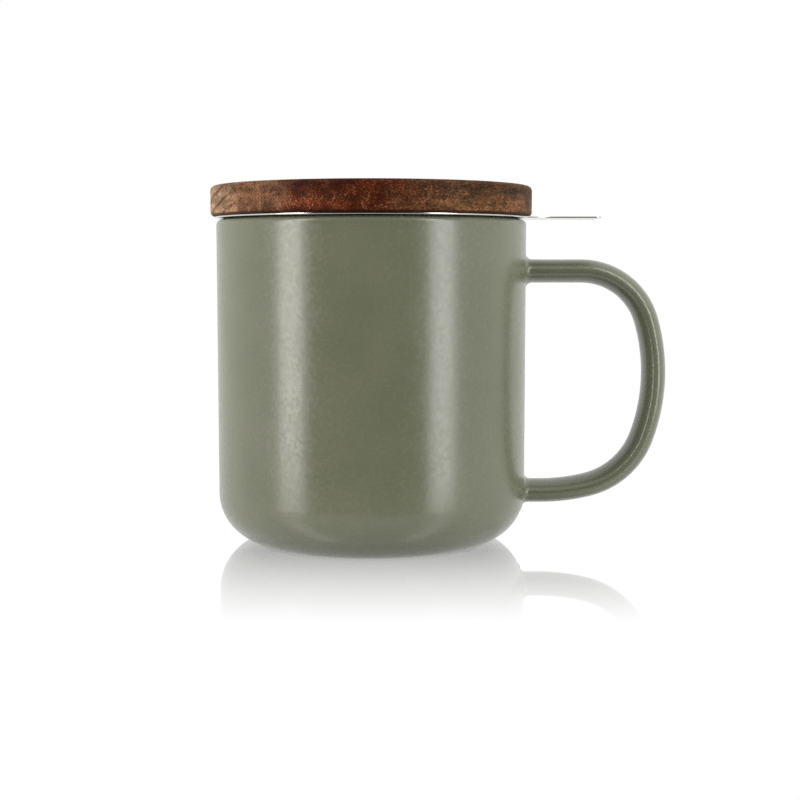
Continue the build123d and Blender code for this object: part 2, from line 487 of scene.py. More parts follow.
def handle_line():
    """Points of the strap's centreline, each with the angle by which it has turned downwards."""
    x, z, heading = body_radius + handle_top_run, handle_top, 0.0
    line = [(x, z, heading)]
    for radius, turn in bends:
        steps = ceil(radius * turn / ring_spacing)
        centre_x = x - radius * sin(heading)
        centre_z = z - radius * cos(heading)
        for step in range(1, steps + 1):
            angle = heading + turn * step / steps
            line.append((centre_x + radius * sin(angle), centre_z + radius * cos(angle), angle))
        x, z, heading = line[-1]
    return line


centreline = handle_line()
outermost = max(x for x, z, heading in centreline)
print("grip radius", round(grip_radius / mm, 1), "mm, outermost", round(outermost / mm, 1), "mm")

# %% Handle rings and roots
ring_points = 64
root_steps = 10
root_depth = 1.2 * mm


def wall_x(y, z):
    """How far out the mug's wall is at this height and distance from the middle plane."""
    radius = body_radius
    if z < corner_radius:
        radius = foot_radius + sqrt(corner_radius**2 - (corner_radius - z) ** 2)
    return sqrt(radius**2 - y**2)


def strap_section(number):
    """A point of the oval, as (across, out from the centreline), with its outward direction."""
    angle = 2 * pi * number / ring_points
    across = handle_width / 2 * cos(angle)
    outward = handle_thickness / 2 * sin(angle)
    facing = Vector((across / (handle_width / 2) ** 2, outward / (handle_thickness / 2) ** 2))
    return across, outward, facing.normalized()


def root_rings(centre_z):
    """Rings from inside the wall out to the strap. Each point follows its own small arc."""
    rings = [[] for _ in range(root_steps + 2)]
    for number in range(ring_points):
        across, outward, facing = strap_section(number)
        y, z = across, centre_z + outward
        probe = root_radius
        wall_here = wall_x(y, z)
        slope = (wall_x(y + facing.x * probe, z + facing.y * probe) - wall_here) / probe
        steep = sqrt(1 + slope**2)
        arc_centre_x = wall_here + root_radius * (slope + steep)
        end_angle = atan2(1 / steep, slope / steep)
        for step in range(root_steps + 1):
            angle = end_angle * (1 - step / root_steps)
            reach = root_radius * (1 - cos(angle))
            point_y, point_z = y + facing.x * reach, z + facing.y * reach
            point_x = arc_centre_x - root_radius * sin(angle)
            if step == 0:
                point_x = wall_x(point_y, point_z)
            rings[step + 1].append((point_x, point_y, point_z))
        start_x, start_y, start_z = rings[1][-1]
        rings[0].append((start_x - root_depth, start_y, start_z))
    return rings


def strap_ring(x, z, heading):
    """One oval ring across the centreline. Its outward side is up where the strap runs level."""
    ring = []
    for number in range(ring_points):
        across, outward, _ = strap_section(number)
        ring.append((x + outward * sin(heading), across, z + outward * cos(heading)))
    return ring


def root_of_tail():
    """The lower root's rings. The strap arrives upside down, so its points run the other way."""
    rings = root_rings(handle_foot_height)
    flipped = [[ring[-number % ring_points] for number in range(ring_points)] for ring in rings]
    return flipped[::-1]


handle_rings = root_rings(handle_top)
handle_rings += [strap_ring(*place) for place in centreline]
handle_rings += root_of_tail()
flat_points = [point for ring in handle_rings for point in ring]
handle_faces = loop_faces(len(handle_rings), ring_points, False, True)
for ring_number in (0, len(handle_rings) - 1):
    handle_faces.append([ring_number * ring_points + n for n in range(ring_points)])
stoneware_handle = new_piece("stoneware_handle", flat_points, handle_faces)
dress(stoneware_handle, sage_glaze, "mug", ["mug_handle"], sharp_above=60.0)

# %% [markdown]
# ## Stainless steel
# The flange is bright rolled sheet: almost a mirror, with a faint drag of fine lines from
# rolling. The basket is duller, because etching its holes takes the polish off. Metal has no
# colour of its own beside what it mirrors, so the nodes only vary roughness and relief.

# %% Steel
steel_line_size = 0.18 * mm
smear_size = 6 * mm
smear_share = 0.5
smear_colour = srgb(186, 184, 180)


def make_steel(name, colour, roughness, line_scale, line_depth):
    """Rolled steel. The lines are noise drawn out along one direction."""
    material, tree, place = new_material(name)
    lines = noise(tree, stretched(tree, place, line_scale), steel_line_size, detail=3.0)
    smears = noise(tree, place, smear_size)
    tone = blend_colours(tree, remap(tree, smears, 0.3, 0.7, 0.0, smear_share), colour, smear_colour)
    values = {
        "Base Color": tone,
        "Metallic": 1.0,
        "Roughness": remap(tree, lines, 0.3, 0.7, roughness * 0.8, roughness * 1.3, smooth=False),
        "Normal": bump(tree, lines, line_depth),
    }
    return finish_material(material, add(tree, "ShaderNodeBsdfPrincipled", values))


bright_steel = make_steel("bright_rolled_steel", srgb(214, 212, 208), 0.14, (1.0, 0.04, 1.0), 0.002 * mm)
etched_steel = make_steel("etched_steel", srgb(196, 195, 192), 0.3, (0.3, 0.3, 1.0), 0.003 * mm)

# %% [markdown]
# ## The flange and its tab
# Ring, neck and tab are one pressing. The ring is cut in the flat with the tab's outline on it,
# so each turned section is the same except for where it ends. The mesh uses that: every spoke
# of the wheel has the same section, and its outer end lies on the cut outline.

# %% Cut outline of ring and tab
sheet_thickness = 0.5 * mm
sheet_edge_radius = 0.22 * mm
tab_width = 16.5 * mm
tab_root_radius = 10.0 * mm
tab_tip_radius = 1.7 * mm
tab_root_steps = 14
tab_tip_steps = 10
ring_edge_steps = 220


def tab_side_points():
    """The tab's upper half, from the ring's tangent point to the middle of the tip."""
    half_width = tab_width / 2
    reach = flange_radius + tab_root_radius
    root_y = half_width + tab_root_radius
    root_x = sqrt(reach**2 - root_y**2)
    start = atan2(root_y, root_x)
    root = []
    for step in range(tab_root_steps + 1):
        angle = start + pi + (pi / 2 - start) * step / tab_root_steps
        root.append((root_x + tab_root_radius * cos(angle), root_y + tab_root_radius * sin(angle)))
    tip_x, tip_y = tab_tip - tab_tip_radius, half_width - tab_tip_radius
    tip = []
    for step in range(tab_tip_steps + 1):
        angle = pi / 2 * (1 - step / tab_tip_steps)
        tip.append((tip_x + tab_tip_radius * cos(angle), tip_y + tab_tip_radius * sin(angle)))
    middle = [(tab_tip, tip_y * share) for share in (0.96, 0.5, 0.0)]
    straight_x = root[-1][0]
    straight = [(straight_x + (tip_x - straight_x) * share, half_width) for share in (0.03, 0.5, 0.97)]
    return root + straight + tip + middle


def cut_outline():
    """The whole outline, anticlockwise from the middle of the tab's tip."""
    upper = [Vector(point) for point in tab_side_points()]
    root_angle = atan2(upper[0].y, upper[0].x)
    ring = []
    for step in range(1, ring_edge_steps):
        angle = root_angle + (2 * pi - 2 * root_angle) * step / ring_edge_steps
        ring.append(Vector((flange_radius * cos(angle), flange_radius * sin(angle))))
    lower = [Vector((point.x, -point.y)) for point in upper[:-1]]
    return upper[::-1] + ring + lower


outline = cut_outline()
print("cut outline:", len(outline), "points")

# %% Flange section
bend_radius = 0.8 * mm
under_reach = 2.5 * mm
neck_radius = 38.5 * mm
lip_radius = 36.5 * mm
neck_bottom = 81.6 * mm
lip_top = 79.8 * mm
lip_bottom = flange_low.z


def outward_at(number):
    """The direction that points out of the outline at one of its points."""
    along = outline[(number + 1) % len(outline)] - outline[number - 1]
    return Vector((along.y, -along.x)).normalized()


def sheet_sides(corners, thickness):
    """Both faces of a bent sheet whose under face follows the corners."""
    under = rounded(corners)
    over = []
    for number, point in enumerate(under):
        after = under[min(number + 1, len(under) - 1)]
        before = under[max(number - 1, 0)]
        along = (after - before).normalized()
        over.append(point + Vector((along.y, -along.x)) * thickness)
    return under, over


pressed_corners = [
    (neck_radius + under_reach, rim_height, 0),
    (neck_radius, rim_height, bend_radius),
    (neck_radius, neck_bottom, bend_radius),
    (lip_radius, lip_top, bend_radius),
    (lip_radius, lip_bottom, 0),
]
under_face, over_face = sheet_sides(pressed_corners, sheet_thickness)
edge_steps = 4
flange_rings = []
for up_side in (-1, 1):
    steps = range(edge_steps + 1) if up_side < 0 else range(edge_steps, -1, -1)
    for step in steps:
        angle = pi / 2 * (1 - step / edge_steps)
        inset = sheet_edge_radius * (1 - cos(angle))
        middle_z = flange_top - sheet_thickness / 2
        level = middle_z + up_side * (sheet_thickness / 2 - sheet_edge_radius * (1 - sin(angle)))
        places = [point - outward_at(n) * inset for n, point in enumerate(outline)]
        flange_rings.append([(p.x, p.y, level) for p in places])
directions = [point.normalized() for point in outline]
for across, up in over_face + under_face[::-1]:
    flange_rings.append([(d.x * across, d.y * across, up) for d in directions])

flange_points = [point for ring in flange_rings for point in ring]
flange_faces = loop_faces(len(flange_rings), len(outline), True, True)
flange_and_tab = new_piece("flange_and_tab", flange_points, flange_faces)
dress(flange_and_tab, bright_steel, "infuser", ["infuser_flange"])

# %% [markdown]
# ## The perforated basket
# The basket's wall is a flat sheet, etched with rows of fine holes, then rolled and lapped. The
# tree below follows the same order. It lays small cells in rows on a flat blank, each cell a
# square with a hole, and plain squares where the sheet has its seam and its borders. Every other
# row is shifted by half a cell. Then it rolls the blank by moving each point from (along, up) to
# an angle and a height, which is far less work than cutting thousands of holes from a tube.

# %% Helpers for geometry trees
cell_merge_distance = 0.002 * mm
socket_kinds = {int: "NodeSocketInt", float: "NodeSocketFloat"}


def new_tree(name, values):
    """A geometry tree with a named input for each value. Its kind follows from the value's."""
    tree = bpy.data.node_groups.new(name, "GeometryNodeTree")
    tree.interface.new_socket("Geometry", in_out="OUTPUT", socket_type="NodeSocketGeometry")
    for label, value in values.items():
        kind = socket_kinds.get(type(value), "NodeSocketMaterial")
        tree.interface.new_socket(label, in_out="INPUT", socket_type=kind)
    given = tree.nodes.new("NodeGroupInput").outputs
    return tree, given


def finish_tree(tree, geometry, material):
    """Ends a tree in Realize Instances and Set Material."""
    real = add(tree, "GeometryNodeRealizeInstances", {0: geometry}).outputs[0]
    merged = add(tree, "GeometryNodeMergeByDistance", {0: real, "Distance": cell_merge_distance}).outputs[0]
    made = add(tree, "GeometryNodeSetMaterial", {0: merged, "Material": material}).outputs[0]
    add(tree, "NodeGroupOutput", {0: made})
    print("tree", tree.name, "has", len(tree.nodes), "nodes")


def grow(name, tree, values):
    """Runs a tree on an empty object and returns its result as a plain mesh object."""
    seed = bpy.data.objects.new(name + "_seed", bpy.data.meshes.new(name + "_seed"))
    bpy.context.scene.collection.objects.link(seed)
    modifier = seed.modifiers.new("grow", "NODES")
    modifier.node_group = tree
    for item in tree.interface.items_tree:
        if item.in_out == "INPUT" and item.name in values:
            modifier[item.identifier] = values[item.name]
    mesh = bpy.data.meshes.new_from_object(seed.evaluated_get(bpy.context.evaluated_depsgraph_get()))
    mesh.name = name
    bpy.data.objects.remove(seed)
    piece = bpy.data.objects.new(name, mesh)
    bpy.context.scene.collection.objects.link(piece)
    return piece


def thicken(piece, thickness):
    """Gives a one-sided sheet its thickness, inwards from the side that its faces look to."""
    modifier = piece.modifiers.new("thickness", "SOLIDIFY")
    modifier.thickness = thickness
    modifier.offset = -1.0
    modifier.use_even_offset = True
    solid = bpy.data.meshes.new_from_object(piece.evaluated_get(bpy.context.evaluated_depsgraph_get()))
    piece.modifiers.clear()
    piece.data = solid


# %% Perforation sizes
hole_diameter = 0.95 * mm
hole_pitch = 2.0 * mm
hole_sides = 8
mesh_thickness = 0.4 * mm
mesh_radius = wall_high.x
crimp_top = floor_high.z
seam_width = 6.0 * mm
seam_angle = pi / 2
plain_border = 1.6 * mm
open_share = pi * (hole_diameter / 2) ** 2 / (hole_pitch**2 * sqrt(0.75))
print("holes take up", round(100 * open_share), "percent of the sheet")

# %% The wall's tree
def cell_outline(tree, width, height):
    """A rectangle with a point at each corner and at the middle of each side."""
    frame_curve = add(tree, "GeometryNodeCurvePrimitiveQuadrilateral", {"Width": width, "Height": height})
    return add(tree, "GeometryNodeSubdivideCurve", {0: frame_curve.outputs[0], "Cuts": 1}).outputs[0]


def circle(tree, sides, radius):
    """A round curve."""
    values = {"Resolution": sides, "Radius": radius}
    return add(tree, "GeometryNodeCurvePrimitiveCircle", values).outputs[0]


def joined(tree, *parts):
    """Several geometries as one."""
    whole = tree.nodes.new("GeometryNodeJoinGeometry")
    for part in parts:
        tree.links.new(part, whole.inputs[0])
    return whole.outputs[0]


def filled(tree, *curves):
    """The flat faces inside the curves. A curve inside another one becomes a hole."""
    return add(tree, "GeometryNodeFillCurve", {0: joined(tree, *curves)}, mode="TRIANGLES").outputs[0]


def staggered(tree, per_row):
    """Each point's row, and its place along the row, with every other row shifted by half a cell."""
    index = add(tree, "GeometryNodeInputIndex").outputs[0]
    row = maths(tree, "FLOOR", divided(tree, index, per_row))
    column = minus(tree, index, times(tree, row, per_row))
    shift = times(tree, maths(tree, "MODULO", row, 2.0), 0.5)
    return row, plus(tree, column, shift)


def make_wall_tree(values):
    """Cells on a flat blank, then the blank rolled into a tube."""
    tree, given = new_tree("perforated_wall", values)
    around = times(tree, given["Radius"], 2 * pi)
    cell_width = divided(tree, around, given["Columns"])
    cell_height = divided(tree, given["Height"], given["Rows"])
    outline_curve = cell_outline(tree, cell_width, cell_height)
    hole = circle(tree, given["Hole Sides"], given["Hole Radius"])
    turn = place_of(tree, Z=divided(tree, pi, given["Hole Sides"]))
    hole = add(tree, "GeometryNodeTransform", {"Geometry": hole, "Rotation": turn}).outputs[0]

    row, cell = staggered(tree, given["Columns"])
    along = times(tree, cell, cell_width)
    up = times(tree, plus(tree, row, 0.5), cell_height)
    count = times(tree, given["Columns"], given["Rows"])
    spot = place_of(tree, X=along, Y=up)
    cells = add(tree, "GeometryNodePoints", {"Count": count, "Position": spot}).outputs[0]

    position = add(tree, "GeometryNodeInputPosition").outputs[0]
    flat = parts_of(tree, position)
    half_seam = divided(tree, given["Seam Width"], 2.0)
    from_seam = maths(tree, "PINGPONG", flat["X"], divided(tree, around, 2.0))
    off_seam = maths(tree, "GREATER_THAN", from_seam, half_seam)
    above = maths(tree, "GREATER_THAN", flat["Y"], given["First Hole"])
    below = maths(tree, "LESS_THAN", flat["Y"], given["Last Hole"])
    holed = times(tree, off_seam, times(tree, above, below))
    plain = minus(tree, 1.0, holed)
    with_holes = {"Points": cells, "Instance": filled(tree, outline_curve, hole), "Selection": holed}
    without = {"Points": cells, "Instance": filled(tree, outline_curve), "Selection": plain}
    laid = [
        add(tree, "GeometryNodeInstanceOnPoints", cell_values).outputs[0]
        for cell_values in (with_holes, without)
    ]
    sheet = add(tree, "GeometryNodeRealizeInstances", {0: joined(tree, *laid)}).outputs[0]

    angle = plus(tree, divided(tree, flat["X"], given["Radius"]), given["Seam Angle"])
    rolled_place = place_of(
        tree,
        X=times(tree, given["Radius"], maths(tree, "COSINE", angle)),
        Y=times(tree, given["Radius"], maths(tree, "SINE", angle)),
        Z=plus(tree, flat["Y"], given["Bottom"]),
    )
    tube = add(tree, "GeometryNodeSetPosition", {"Geometry": sheet, "Position": rolled_place}).outputs[0]
    finish_tree(tree, tube, given["Material"])
    return tree


# %% Grow the wall
wall_height = wall_high.z - wall_low.z
wall_columns = round(2 * pi * mesh_radius / hole_pitch)
wall_rows = 2 * round(wall_height / (hole_pitch * sqrt(0.75)) / 2)
wall_values = {
    "Columns": wall_columns,
    "Rows": wall_rows,
    "Radius": mesh_radius,
    "Bottom": wall_low.z,
    "Height": wall_height,
    "Hole Radius": hole_diameter / 2,
    "Hole Sides": hole_sides,
    "First Hole": crimp_top + plain_border - wall_low.z,
    "Last Hole": lip_bottom - plain_border - wall_low.z,
    "Seam Width": seam_width,
    "Seam Angle": seam_angle,
    "Material": etched_steel,
}
basket_wall = grow("basket_wall", make_wall_tree(wall_values), wall_values)
thicken(basket_wall, mesh_thickness)
dress(basket_wall, etched_steel, "infuser", ["infuser_wall"])

# %% [markdown]
# The lap is a plain strip over the seam, held by a row of spot welds. Each weld leaves a shallow
# round dent, so the strip is a fine grid whose points sink by a smooth bowl at every weld.

# %% Lap seam with spot welds
weld_pitch = 4.0 * mm
weld_radius = 0.9 * mm
weld_depth = 0.1 * mm
seam_end_gap = 0.5 * mm
seam_grid = 0.3 * mm
seam_rim = 0.1 * mm
seam_sink = 0.1 * mm


def seam_point(along, up, lift):
    """A point of the strip, which is rolled with the wall: along is measured round the tube."""
    angle = seam_angle + along / mesh_radius
    return (mesh_radius + lift) * cos(angle), (mesh_radius + lift) * sin(angle), up


seam_bottom, seam_top = crimp_top + seam_end_gap, lip_bottom - seam_end_gap
seam_columns = ceil(seam_width / seam_grid)
seam_rows = ceil((seam_top - seam_bottom) / seam_grid)
seam_points = []
for side in (1, 0):
    for row in range(seam_rows + 1):
        up = seam_bottom + (seam_top - seam_bottom) * row / seam_rows
        for column in range(seam_columns + 1):
            along = seam_width * (column / seam_columns - 0.5)
            from_weld = hypot(along, (up - seam_bottom) % weld_pitch - weld_pitch / 2)
            dent = weld_depth * max(0.0, 1 - (from_weld / weld_radius) ** 2) ** 2
            on_edge = row in (0, seam_rows) or column in (0, seam_columns)
            lift = mesh_thickness - dent - (seam_rim if on_edge else 0.0)
            seam_points.append(seam_point(along, up, lift if side else -seam_sink))
grid_size = (seam_rows + 1) * (seam_columns + 1)
seam_faces = loop_faces(seam_rows + 1, seam_columns + 1, False, False)
seam_faces += [[grid_size + n for n in face] for face in seam_faces]
edge_loop = list(range(seam_columns + 1))
edge_loop += [row * (seam_columns + 1) + seam_columns for row in range(1, seam_rows + 1)]
edge_loop += [seam_rows * (seam_columns + 1) + c for c in range(seam_columns - 1, -1, -1)]
edge_loop += [row * (seam_columns + 1) for row in range(seam_rows - 1, 0, -1)]
for number, here in enumerate(edge_loop):
    after = edge_loop[(number + 1) % len(edge_loop)]
    seam_faces.append([here, after, grid_size + after, grid_size + here])
basket_seam = new_piece("basket_seam", seam_points, seam_faces)
dress(basket_seam, etched_steel, "infuser", ["infuser_wall"])

# %% [markdown]
# The basket's floor is drawn from a flat disc: perforated in the middle, with a plain edge that a
# press turns up round the wall. Here the middle is one flat fill between a circle and all the
# small circles inside it, and the plain edge is a strip that joins it point for point. The bend
# is again a move: past the flat part, the distance from the centre becomes an angle, then a
# height.

# %% The floor's tree
floor_segments = 192
floor_edge_rings = 24
spare_columns = 5.0


def make_floor_tree(values):
    """A perforated disc and its plain edge, with the edge turned up."""
    tree, given = new_tree("perforated_floor", values)
    rim_curve = circle(tree, given["Segments"], given["Flat Radius"])
    hole = circle(tree, given["Hole Sides"], given["Hole Radius"])

    half_count = maths(tree, "CEIL", divided(tree, given["Flat Radius"], given["Pitch"]))
    per_row = plus(tree, times(tree, half_count, 2.0), spare_columns)
    row, cell = staggered(tree, per_row)
    middle = divided(tree, minus(tree, per_row, 1.0), 2.0)
    x_cells = minus(tree, cell, middle)
    y_cells = times(tree, minus(tree, row, middle), sqrt(0.75))
    x, y = (times(tree, cells, given["Pitch"]) for cells in (x_cells, y_cells))
    spot = place_of(tree, X=x, Y=y)
    count = times(tree, per_row, per_row)
    centres = add(tree, "GeometryNodePoints", {"Count": count, "Position": spot}).outputs[0]
    position = add(tree, "GeometryNodeInputPosition").outputs[0]
    flat = parts_of(tree, position)
    distance = distance_of(tree, flat["X"], flat["Y"])
    inside = maths(tree, "LESS_THAN", distance, given["Hole Field"])
    laid_values = {"Points": centres, "Instance": hole, "Selection": inside}
    laid = add(tree, "GeometryNodeInstanceOnPoints", laid_values).outputs[0]
    holes = add(tree, "GeometryNodeRealizeInstances", {0: laid}).outputs[0]
    disc = filled(tree, rim_curve, holes)

    strip_values = {
        "Size X": given["Edge Length"],
        "Size Y": 2 * pi,
        "Vertices X": plus(tree, given["Edge Rings"], 1.0),
        "Vertices Y": plus(tree, given["Segments"], 1.0),
    }
    strip = add(tree, "GeometryNodeMeshGrid", strip_values).outputs[0]
    half_edge = divided(tree, given["Edge Length"], 2.0)
    strip_radius = plus(tree, plus(tree, flat["X"], half_edge), given["Flat Radius"])
    ring_x = times(tree, strip_radius, maths(tree, "COSINE", flat["Y"]))
    ring_y = times(tree, strip_radius, maths(tree, "SINE", flat["Y"]))
    ring_place = place_of(tree, X=ring_x, Y=ring_y)
    edge = add(tree, "GeometryNodeSetPosition", {"Geometry": strip, "Position": ring_place}).outputs[0]

    past = maths(tree, "MAXIMUM", minus(tree, distance, given["Flat Radius"]), 0.0)
    quarter = times(tree, given["Bend Radius"], pi / 2)
    in_bend = divided(tree, maths(tree, "MINIMUM", past, quarter), given["Bend Radius"])
    bent_out = times(tree, given["Bend Radius"], maths(tree, "SINE", in_bend))
    drop = minus(tree, 1.0, maths(tree, "COSINE", in_bend))
    bent_up = times(tree, given["Bend Radius"], drop)
    risen = maths(tree, "MAXIMUM", minus(tree, past, quarter), 0.0)
    flat_reach = maths(tree, "MINIMUM", distance, given["Flat Radius"])
    reach = plus(tree, flat_reach, bent_out)
    scale = divided(tree, reach, maths(tree, "MAXIMUM", distance, 1e-9))
    drawn_place = place_of(
        tree,
        X=times(tree, flat["X"], scale),
        Y=times(tree, flat["Y"], scale),
        Z=plus(tree, plus(tree, bent_up, risen), given["Bottom"]),
    )
    drawn_values = {"Geometry": joined(tree, disc, edge), "Position": drawn_place}
    drawn = add(tree, "GeometryNodeSetPosition", drawn_values)
    outside = add(tree, "GeometryNodeFlipFaces", {0: drawn.outputs[0]}).outputs[0]
    finish_tree(tree, outside, given["Material"])
    return tree


# %% Draw the floor
floor_bend_radius = 0.8 * mm
floor_flat_radius = floor_high.x - floor_bend_radius
floor_rise = floor_high.z - floor_low.z - floor_bend_radius
floor_values = {
    "Flat Radius": floor_flat_radius,
    "Hole Field": floor_flat_radius - plain_border,
    "Pitch": hole_pitch,
    "Hole Radius": hole_diameter / 2,
    "Hole Sides": hole_sides,
    "Segments": floor_segments,
    "Bend Radius": floor_bend_radius,
    "Edge Length": floor_bend_radius * pi / 2 + floor_rise,
    "Edge Rings": floor_edge_rings,
    "Bottom": floor_low.z,
    "Material": etched_steel,
}
basket_floor = grow("basket_floor", make_floor_tree(floor_values), floor_values)
thicken(basket_floor, mesh_thickness)
dress(basket_floor, etched_steel, "infuser", ["infuser_floor"])

# %% [markdown]
# ## Acacia
# Acacia has dark reddish heartwood beside tan sapwood, rings a few millimetres apart, and coarse
# pores that show as pale and dark flecks under oil. A board is a slice of a tree, so the nodes
# build the tree and let the lid's surface cut it. The coordinates are first turned to the grain,
# which runs level but at an angle to the handle, because a loose lid lies as it was put down.
# Rings are then the distance from the pith, a line along the grain below the lid. Flecks and
# streaks are noise drawn out along the grain, so that end grain shows dots and long grain dashes.

# %% Wood
grain_angle = radians(-50.0)
pith_across = -28.0 * mm
pith_up = -30.0 * mm
ring_pitch = 3.4 * mm
sapwood_colour = srgb(162, 130, 99)
brown_colour = srgb(109, 75, 52)
heartwood_colour = srgb(75, 31, 11)
outer_colour = srgb(87, 59, 35)
line_colour = srgb(79, 46, 32)
fleck_colour = srgb(185, 132, 97)
# Painted shade: the dark colour of the lid's lower edge, standing in for shadow there.
painted_edge_shade_colour = srgb(46, 16, 11)
sapwood_band = (6 * mm, 20 * mm)
brown_band = (-14 * mm, -4 * mm)
outer_band = (-42 * mm, -31 * mm)
band_wobble = 22 * mm
patch_size = 8 * mm
ring_wander_size = 12 * mm
ring_wander = 3 * mm
streak_size = 1.7 * mm
mottle_size = 3.5 * mm
fibre_size = 0.42 * mm
fibre_depth = 0.03 * mm
pore_size = 0.36 * mm


def scaled(tree, colour, share):
    """A colour made lighter or darker by a factor."""
    return add(tree, "ShaderNodeVectorMath", {0: colour, "Scale": share}, operation="SCALE").outputs[0]


def ring_lines(tree, board, across, up):
    """Late wood: 0 between the rings, rising to 1 at each one and ending sharply."""
    from_pith = distance_of(
        tree, minus(tree, across, pith_across), minus(tree, up, pith_up)
    )
    wander = noise(tree, stretched(tree, board, (0.2, 1.0, 1.0)), ring_wander_size)
    bent = plus(tree, from_pith, times(tree, wander, ring_wander))
    share = maths(tree, "FRACT", divided(tree, bent, ring_pitch))
    rising = remap(tree, share, 0.62, 0.86)
    return times(tree, rising, remap(tree, share, 0.9, 1.0, 1.0, 0.0))


def make_acacia():
    """Sapwood, heartwood and rings, with mottling, streaks, flecks, oil and a painted shade along the lower
    edge.
    """
    material, tree, place = new_material("oiled_acacia")
    board = stretched(tree, place, (1.0, 1.0, 1.0), turn=(0.0, 0.0, grain_angle))
    spread = parts_of(tree, board)
    long_patches = stretched(tree, board, (0.5, 1.0, 1.0))
    patches = noise(tree, long_patches, patch_size, detail=4.0, roughness=0.6)
    wobble = times(tree, minus(tree, patches, 0.5), band_wobble)
    across = plus(tree, spread["Y"], wobble)
    sapwood = remap(tree, across, *sapwood_band)
    brown = remap(tree, across, *brown_band)
    outer = remap(tree, across, *outer_band, 1.0, 0.0)
    colour = blend_colours(tree, outer, heartwood_colour, outer_colour)
    colour = blend_colours(tree, brown, colour, brown_colour)
    colour = blend_colours(tree, sapwood, colour, sapwood_colour)

    lines = ring_lines(tree, board, spread["Y"], spread["Z"])
    line_share = remap(tree, sapwood, 0.0, 1.0, 0.15, 0.85)
    colour = blend_colours(tree, times(tree, lines, line_share), colour, line_colour)
    streaks = noise(tree, stretched(tree, board, (0.06, 0.1, 1.0)), streak_size, detail=3.0)
    long_mottles = stretched(tree, board, (0.6, 1.0, 1.0))
    mottling = noise(tree, long_mottles, mottle_size, detail=5.0, roughness=0.7)
    long_fibres = stretched(tree, board, (0.4, 1.0, 1.0))
    fibre = noise(tree, long_fibres, fibre_size, detail=3.0, roughness=0.65)
    flecks = noise(tree, long_patches, pore_size, detail=1.0)
    streak_level = remap(tree, streaks, 0.35, 0.65, 0.62, 1.3, smooth=False)
    mottle_level = remap(tree, mottling, 0.35, 0.65, 0.6, 1.4, smooth=False)
    fibre_level = remap(tree, fibre, 0.38, 0.62, 0.45, 1.55, smooth=False)
    level = times(tree, streak_level, times(tree, mottle_level, fibre_level))
    whole = parts_of(tree, place)
    depth = remap(tree, whole["Z"], flange_top + 1.5 * mm, lid_top - 1.5 * mm, 1.0, 0.0)
    heart_level = remap(tree, depth, 0.0, 1.0, 0.72, 1.3, smooth=False)
    depth_level = remap(tree, brown, 0.0, 1.0, heart_level, 0.93)
    colour = scaled(tree, colour, times(tree, level, depth_level))
    pores = remap(tree, flecks, 0.52, 0.72, 0.0, 0.5)
    fleck_share = times(tree, pores, remap(tree, mottling, 0.42, 0.6))
    fleck_depth = remap(tree, depth, 0.0, 1.0, 0.45, 1.4, smooth=False)
    fleck_share = times(tree, fleck_share, fleck_depth)
    colour = blend_colours(tree, fleck_share, colour, fleck_colour)

    # Painted shade: the lid's rounded lower edge, just above the flange, is darkened as if in shadow.
    radius = distance_of(tree, whole["X"], whole["Y"])
    outside = remap(tree, radius, lid_radius - 2.0 * mm, lid_radius - 1.0 * mm)
    low = remap(tree, whole["Z"], flange_top + 0.3 * mm, flange_top + 0.8 * mm, 0.85, 0.0)
    colour = blend_colours(tree, times(tree, outside, low), colour, painted_edge_shade_colour)
    values = {
        "Base Color": colour,
        "Roughness": remap(tree, fibre, 0.3, 0.7, 0.66, 0.46, smooth=False),
        "Normal": bump(tree, fibre, fibre_depth),
        "IOR": 1.35,
        "Specular IOR Level": 0.12,
    }
    return finish_material(material, add(tree, "ShaderNodeBsdfPrincipled", values))


acacia = make_acacia()

# %% [markdown]
# ## The lid
# A disc turned on a lathe, with a plug underneath that centres it in the infuser's neck. A groove
# round the plug holds a silicone ring.

# %% Lid outline
lid_top_edge = 1.3 * mm
lid_bottom_edge = 1.2 * mm
plug_radius = 36.9 * mm
plug_chamfer = 0.8 * mm
plug_edge_radius = 0.3 * mm
groove_depth = 1.6 * mm
groove_corner = 0.15 * mm

lid_corners = [
    (0, lid_low.z, 0),
    (plug_radius - plug_chamfer, lid_low.z, plug_edge_radius),
    (plug_radius, lid_low.z + plug_chamfer, plug_edge_radius),
    (plug_radius, seal_low.z, groove_corner),
    (plug_radius - groove_depth, seal_low.z, groove_corner),
    (plug_radius - groove_depth, seal_high.z, groove_corner),
    (plug_radius, seal_high.z, groove_corner),
    (plug_radius, flange_top, groove_corner),
    (lid_radius, flange_top, lid_bottom_edge),
    (lid_radius, lid_top, lid_top_edge),
    (0, lid_top, 0),
]
wooden_lid = turned("wooden_lid", rounded(lid_corners))
dress(wooden_lid, acacia, "lid", ["lid_disc"])

# %% [markdown]
# ## The silicone ring
# It is moulded with two thin fins that brush the inside of the neck.

# %% Silicone and its ring
silicone_colour = srgb(226, 223, 214)
silicone_cloud_colour = srgb(206, 202, 192)
cloud_size = 3 * mm
bloom_size = 0.4 * mm
bloom_depth = 0.01 * mm


def make_silicone():
    """Milky silicone with a slight bloom of dust."""
    material, tree, place = new_material("milky_silicone")
    cloud = noise(tree, place, cloud_size, detail=3.0)
    colour = blend_colours(tree, cloud, silicone_colour, silicone_cloud_colour)
    values = {
        "Base Color": colour,
        "Roughness": remap(tree, cloud, 0.3, 0.7, 0.4, 0.52),
        "Subsurface Weight": 0.25,
        "Subsurface Radius": (1.0, 1.0, 1.0),
        "Subsurface Scale": 1.0 * mm,
        "Normal": bump(tree, noise(tree, place, bloom_size), bloom_depth),
    }
    return finish_material(material, add(tree, "ShaderNodeBsdfPrincipled", values))


